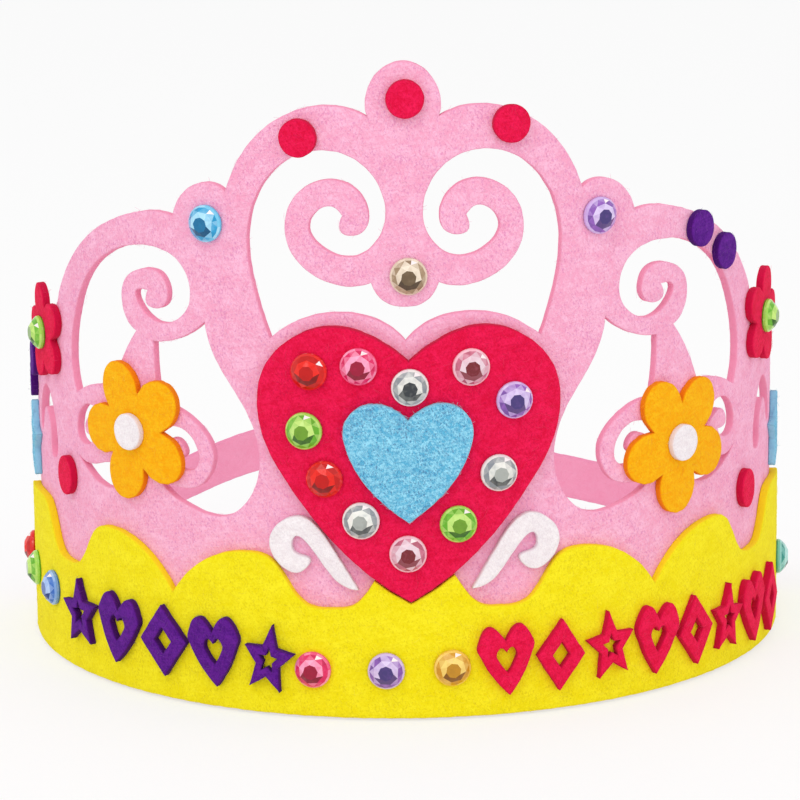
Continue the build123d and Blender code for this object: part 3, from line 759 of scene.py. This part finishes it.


# Gems: the painted shadow under the table, the table (partly the stone's colour, partly a painted
# reflection), the outer facets, the inner ones' painted highlight and the rim's painted highlight
gemColours = {
    "red": {
        "shade": (112, 4, 4), "table": (196, 8, 4), "body": (196, 10, 8),
        "paintedHighlight": (242, 34, 20), "rim": (224, 34, 36),
    },
    "pink": {
        "shade": (136, 12, 46), "table": (158, 14, 54), "body": (228, 36, 100),
        "paintedHighlight": (255, 170, 204), "rim": (238, 70, 124),
    },
    "clear": {
        "shade": (56, 60, 64), "table": (172, 176, 170), "body": (136, 142, 150),
        "paintedHighlight": (240, 240, 232), "rim": (232, 216, 222),
    },
    "blush": {
        "shade": (150, 76, 88), "table": (118, 34, 42), "body": (206, 112, 138),
        "paintedHighlight": (236, 212, 222), "rim": (248, 184, 200),
    },
    "lilac": {
        "shade": (98, 72, 132), "table": (70, 56, 118), "body": (150, 98, 190),
        "paintedHighlight": (224, 206, 244), "rim": (198, 164, 224),
    },
    "green": {
        "shade": (34, 90, 22), "table": (112, 158, 44), "body": (102, 182, 40),
        "paintedHighlight": (202, 236, 128), "rim": (156, 216, 76),
    },
    "amber": {
        "shade": (118, 70, 12), "table": (194, 138, 30), "body": (212, 148, 30),
        "paintedHighlight": (252, 222, 124), "rim": (238, 184, 64),
    },
    "champagne": {
        "shade": (80, 62, 46), "table": (108, 88, 64), "body": (172, 146, 116),
        "paintedHighlight": (242, 228, 206), "rim": (218, 198, 174),
    },
    "cyan": {
        "shade": (10, 78, 118), "table": (22, 112, 160), "body": (42, 162, 214),
        "paintedHighlight": (176, 228, 250), "rim": (100, 198, 234),
    },
    "blue": {
        "shade": (20, 50, 118), "table": (42, 86, 168), "body": (66, 118, 206),
        "paintedHighlight": (184, 210, 250), "rim": (114, 158, 226),
    },
    "teal": {
        "shade": (16, 80, 74), "table": (38, 120, 112), "body": (62, 160, 150),
        "paintedHighlight": (184, 232, 226), "rim": (112, 190, 182),
    },
}
# a painted glint: one outer facet, the one farthest to the right and up, in near white
gemGlint = (255, 244, 244)
gemGlintFrom = (0.6, 0.8)       # to the right and up
# these stones' tables are painted dark, a painted reflection of the dark room
darkTables = ("gem_heart_clear_1",)
gemShape = {
    "sides": 8,
    "girdleLow": 0.12,          # shares of the gem's height
    "girdleHigh": 0.3,
    "collar": 0.46,
    "shoulder": 0.75,
    "footRadius": 0.97,         # shares of the gem's radius
    "girdleTopRadius": 0.985,
    "collarRadius": 0.9,
    "shoulderRadius": 0.69,
    "tableRadius": 0.41,
    "shadowBelow": -0.2,        # inner facets lower than this share of the radius are in shadow
    "turnSeed": 8,
    "turnMost": 60,             # degrees that a gem may be turned by
}
# Where each kind of facet stands on the way from shadow to glint
gemTones = {"shade": 0.0, "table": 0.2, "body": 0.4, "paintedHighlight": 0.6, "rim": 0.8, "glint": 1.0}
# How far facets of a kind differ from that
gemSpread = {
    "collar": (0.0, 0.16),
    "lit": (-0.08, 0.12),
    "plain": (-0.1, 0.08),
    "between": (-0.06, 0.14),
    "paintedHighlight": (-0.06, 0.02),
    "shade": 0.04,
    "clouds": 0.07,
}
gemClouds = 900.0               # changes of tone inside the facets, to each metre
gemFinish = {
    "Roughness": 0.12,
    "Specular IOR Level": 0.15,
    "Coat Weight": 0.35,
    "Coat Roughness": 0.03,
    "Coat IOR": 1.49,
}


def gemMaterial(name, colours):
    # each facet keeps a tone painted on it, the stone's colour with painted shadow, painted reflection
    # and painted highlight, under a clear glossy face
    material, tree, shader = newMaterial(name + "_gem_look")
    tone = addNode(tree, "ShaderNodeAttribute", attribute_name="tone")
    colourAndPaintedLight = addNode(tree, "ShaderNodeValToRGB")
    ramp = colourAndPaintedLight.color_ramp
    places = {part: linear(gemGlint if part == "glint" else colours[part]) for part in gemTones}
    ramp.elements[0].color = places["shade"]
    ramp.elements[1].color = places["glint"]
    for part in ("table", "body", "paintedHighlight", "rim"):
        ramp.elements.new(gemTones[part]).color = places[part]
    coordinates = addNode(tree, "ShaderNodeTexCoord")
    clouds = addNode(tree, "ShaderNodeTexNoise")
    clouds.inputs["Scale"].default_value = gemClouds
    shift = addNode(tree, "ShaderNodeMapRange")
    setSockets(shift, {"To Min": -gemSpread["clouds"], "To Max": gemSpread["clouds"]})
    added = addNode(tree, "ShaderNodeMath", operation="ADD", use_clamp=True)
    link(tree, coordinates, "Object", clouds, "Vector")
    link(tree, clouds, "Fac", shift, "Value")
    tree.links.new(tone.outputs["Fac"], added.inputs[0])
    tree.links.new(shift.outputs["Result"], added.inputs[1])
    tree.links.new(added.outputs[0], colourAndPaintedLight.inputs["Fac"])
    link(tree, colourAndPaintedLight, "Color", shader, "Base Color")
    setSockets(shader, gemFinish)
    return material


def meshGem(node, turn):
    # a flat-backed stone: eight-sided table, bright facets round it (painted highlight above, painted
    # shadow below), darker ones outside, a light rim (painted highlight)
    corners, _ = nodeCorners(node)
    middle = corners.mean(axis=0)
    length = math.hypot(middle[0], middle[1])
    out = np.array([middle[0] / length, middle[1] / length, 0.0])
    right = np.array([-out[1], out[0], 0.0])
    up = np.array([0.0, 0.0, 1.0])
    depth = corners @ out
    low, height = depth.min(), depth.max() - depth.min()
    sideways = corners @ right
    centreRight = (sideways.max() + sideways.min()) / 2
    centreUp = (corners[:, 2].max() + corners[:, 2].min()) / 2
    radius = (corners[:, 2].max() - corners[:, 2].min()) / 2
    sides = gemShape["sides"]
    points, faces, tones = [], [], []

    def ring(count, share, level, offset=0.0):
        first = len(points)
        for k in range(count):
            a = math.radians(turn) + 2 * math.pi * (k + offset) / count
            along = (centreRight + radius * share * math.cos(a)) * right
            raised = (centreUp + radius * share * math.sin(a)) * up
            points.append(along + raised + (low + height * level) * out)
        return [first + k for k in range(count)]

    foot = ring(4 * sides, gemShape["footRadius"], 0.0)
    girdle = ring(4 * sides, 1.0, gemShape["girdleLow"])
    top = ring(4 * sides, gemShape["girdleTopRadius"], gemShape["girdleHigh"])
    collar = ring(2 * sides, gemShape["collarRadius"], gemShape["collar"])
    shoulder = ring(sides, gemShape["shoulderRadius"], gemShape["shoulder"], 0.5)
    table = ring(sides, gemShape["tableRadius"], 1.0)

    def face(tone, *corner):
        faces.append(corner)
        tones.append(tone)

    def seenAt(corner):
        # a facet's middle, to the right and up, in shares of the gem's radius
        centre = sum(points[k] for k in corner) / len(corner)
        return (centre @ right - centreRight) / radius, (centre[2] - centreUp) / radius

    draw = random.Random(node)
    body = gemTones["body"]
    # the side takes the stone's colour, the rim's top a painted highlight
    for k in range(4 * sides):
        after = (k + 1) % (4 * sides)
        face(body, foot[k], foot[after], girdle[after], girdle[k])
        face(gemTones["rim"], girdle[k], girdle[after], top[after], top[k])
    # the ring inside the rim: a little darker than the rim's painted highlight
    for k in range(2 * sides):
        after = (k + 1) % (2 * sides)
        here, mid, there = top[2 * k], top[2 * k + 1], top[2 * after]
        tone = gemTones["rim"] - draw.uniform(*gemSpread["collar"])
        face(tone, collar[k], here, mid)
        face(tone, collar[k], mid, collar[after])
        face(tone, collar[after], mid, there)
    # the outer facet farthest to the right and up gets the painted glint
    glint = max(range(sides), key=lambda k: np.dot(seenAt((collar[2 * k], shoulder[k])), gemGlintFrom))
    for k in range(sides):
        after = (k + 1) % sides
        a, b, c = collar[2 * k], collar[2 * k + 1], collar[(2 * k + 2) % (2 * sides)]
        # the outer facets, some lighter than their neighbours
        lit = gemTones["glint"] if k == glint else body + draw.uniform(*gemSpread["lit"])
        face(lit, a, b, shoulder[k])
        face(body + draw.uniform(*gemSpread["plain"]), b, c, shoulder[k])
        face(body + draw.uniform(*gemSpread["between"]), c, shoulder[after], shoulder[k])
        # the inner facets: bright above, in shadow below
        pointed = (table[k], shoulder[k], table[after])
        broad = (table[after], shoulder[k], shoulder[after])
        for corner in (pointed, broad):
            if seenAt(corner)[1] < gemShape["shadowBelow"]:
                face(gemTones["shade"] + gemSpread["shade"], *corner)
            else:
                face(gemTones["paintedHighlight"] + draw.uniform(*gemSpread["paintedHighlight"]), *corner)
    # the table: partly the stone's colour, partly a painted reflection, dark on the stones listed in
    # darkTables
    face(gemTones["shade" if node in darkTables else "table"], *table)
    face(body, *reversed(foot))
    mesh = bpy.data.meshes.new(node + "_stone")
    mesh.from_pydata([tuple(p * mm) for p in points], [], faces)
    attribute = mesh.attributes.new("tone", "FLOAT", "FACE")
    attribute.data.foreach_set("value", np.array(tones, np.float32))
    mesh.validate()
    mesh.update()
    made = bpy.data.objects.new(node + "_stone", mesh)
    scene.collection.objects.link(made)
    return made


# The camera and what it looks at, as fitted to the picture (lengths in metres, angles in degrees)
cameraView = {
    "place": (-0.0044, -0.900, 0.2558),
    "heading": -0.214,          # turned to the right of straight on
    "pitch": 12.707,            # looking down
    "roll": -0.683,
    "focalPixels": 3811.9,      # for a picture 800 pixels wide
    "picture": 800.0,
    "sensor": 36.0,
    "nearest": 0.05,
    "farthest": 50,
}


def aimCamera(values):
    data = bpy.data.cameras.new("camera")
    made = bpy.data.objects.new("camera", data)
    scene.collection.objects.link(made)
    data.sensor_width = values["sensor"]
    data.lens = values["focalPixels"] / values["picture"] * values["sensor"]
    data.clip_start = values["nearest"]
    data.clip_end = values["farthest"]
    heading, pitch, roll = (math.radians(values[k]) for k in ("heading", "pitch", "roll"))
    right = Vector((math.cos(heading), math.sin(heading), 0))
    level = math.cos(pitch)
    ahead = Vector((-math.sin(heading) * level, math.cos(heading) * level, -math.sin(pitch)))
    above = right.cross(ahead)
    pictureRight = math.cos(roll) * right + math.sin(roll) * above
    pictureUp = math.cos(roll) * above - math.sin(roll) * right
    turned = Matrix((pictureRight, pictureUp, -ahead)).transposed().to_4x4()
    made.matrix_world = Matrix.Translation(values["place"]) @ turned
    scene.camera = made


studio = {
    "floorSize": 6.0,
    "floorColour": (0.95, 0.95, 0.95),
    "floorWhite": 0.65,         # how far the floor is lifted to white where the camera sees it
    "worldStrength": 0.86,
    "keyPower": 9.0,
    "keySize": 1.1,
    "keyPlace": (-0.55, -1.25, 1.75),
    "fillPower": 3.0,
    "fillSize": 1.4,
    "fillPlace": (1.3, -1.3, 0.9),
    "lampsAim": (0, 0, 0.07),
}
floorFinish = {"Roughness": 0.9, "Specular IOR Level": 0.1}


def areaLamp(name, place, size, power):
    data = bpy.data.lights.new(name, "AREA")
    data.size = size
    data.energy = power
    made = bpy.data.objects.new(name, data)
    scene.collection.objects.link(made)
    made.location = place
    towards = Vector(studio["lampsAim"]) - Vector(place)
    made.rotation_euler = towards.to_track_quat("-Z", "Y").to_euler()


def whereSeen(tree, share):
    # white where it is looked at, straight or in a shiny or clear surface, by this share
    rays = addNode(tree, "ShaderNodeLightPath")
    shiny = addNode(tree, "ShaderNodeMath", operation="MAXIMUM")
    seen = addNode(tree, "ShaderNodeMath", operation="MAXIMUM")
    link(tree, rays, "Is Camera Ray", shiny, 0)
    link(tree, rays, "Is Glossy Ray", shiny, 1)
    link(tree, shiny, "Value", seen, 0)
    link(tree, rays, "Is Transmission Ray", seen, 1)
    part = addNode(tree, "ShaderNodeMath", operation="MULTIPLY")
    part.inputs[1].default_value = share
    link(tree, seen, "Value", part, 0)
    kind = "ShaderNodeEmission" if tree.nodes.get("Material Output") else "ShaderNodeBackground"
    white = addNode(tree, kind)
    setSockets(white, {"Color": (1, 1, 1, 1), "Strength": 1.0})
    mixed = addNode(tree, "ShaderNodeMixShader")
    link(tree, part, "Value", mixed, "Fac")
    tree.links.new(white.outputs[0], mixed.inputs[2])
    return mixed


def buildStudio():
    half = studio["floorSize"] / 2
    mesh = bpy.data.meshes.new("floor")
    corners = [(-half, -half, 0), (half, -half, 0), (half, half, 0), (-half, half, 0)]
    mesh.from_pydata(corners, [], [(0, 1, 2, 3)])
    floor = bpy.data.objects.new("floor", mesh)
    scene.collection.objects.link(floor)
    material, tree, shader = newMaterial("floor_look")
    shader.inputs["Base Color"].default_value = (*studio["floorColour"], 1)
    setSockets(shader, floorFinish)
    lifted = whereSeen(tree, studio["floorWhite"])
    tree.links.new(shader.outputs[0], lifted.inputs[1])
    tree.links.new(lifted.outputs[0], tree.nodes["Material Output"].inputs["Surface"])
    mesh.materials.append(material)

    world = bpy.data.worlds.new("studio")
    scene.world = world
    world.use_nodes = True
    tree = world.node_tree
    plain = tree.nodes["Background"]
    setSockets(plain, {"Color": (1, 1, 1, 1), "Strength": studio["worldStrength"]})
    lifted = whereSeen(tree, 1.0)
    tree.links.new(plain.outputs[0], lifted.inputs[1])
    tree.links.new(lifted.outputs[0], tree.nodes["World Output"].inputs["Surface"])
    areaLamp("key", studio["keyPlace"], studio["keySize"], studio["keyPower"])
    areaLamp("fill", studio["fillPlace"], studio["fillSize"], studio["fillPower"])


scene.view_settings.view_transform = "Standard"
aimCamera(cameraView)
buildStudio()
print("stage: camera and studio")

feltLooks = {
    colour: feltMaterial(colour, colours, feltGrain[colour]) for colour, colours in feltColours.items()
}
byColour = {colour: [] for colour in feltColours}
for node, colour, big in feltPieces:
    piece, cut = meshFelt(node, bigSheet if big else smallShape)
    piece.data.materials.append(feltLooks[colour])
    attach(piece, "root")
    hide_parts(node)
    byColour[colour].append(piece)
    print("felt:", node, len(piece.data.polygons), "faces")

tree = fibreTree()
for colour, pieces in byColour.items():
    grown = growFibres(colour, pieces, tree, fibreMaterial(colour, feltColours[colour]))
    print("fibres:", colour, len(grown.data.polygons))

gemLooks = {colour: gemMaterial(colour, colours) for colour, colours in gemColours.items()}
turns = random.Random(gemShape["turnSeed"])
for node in sorted(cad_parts):
    if not node.startswith("gem_"):
        continue
    colour = next(c for c in gemColours if c in node.split("_"))
    gem = meshGem(node, turns.uniform(0, gemShape["turnMost"]))
    gem.data.materials.append(gemLooks[colour])
    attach(gem, "root")
    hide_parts(node)
print("gems: done")
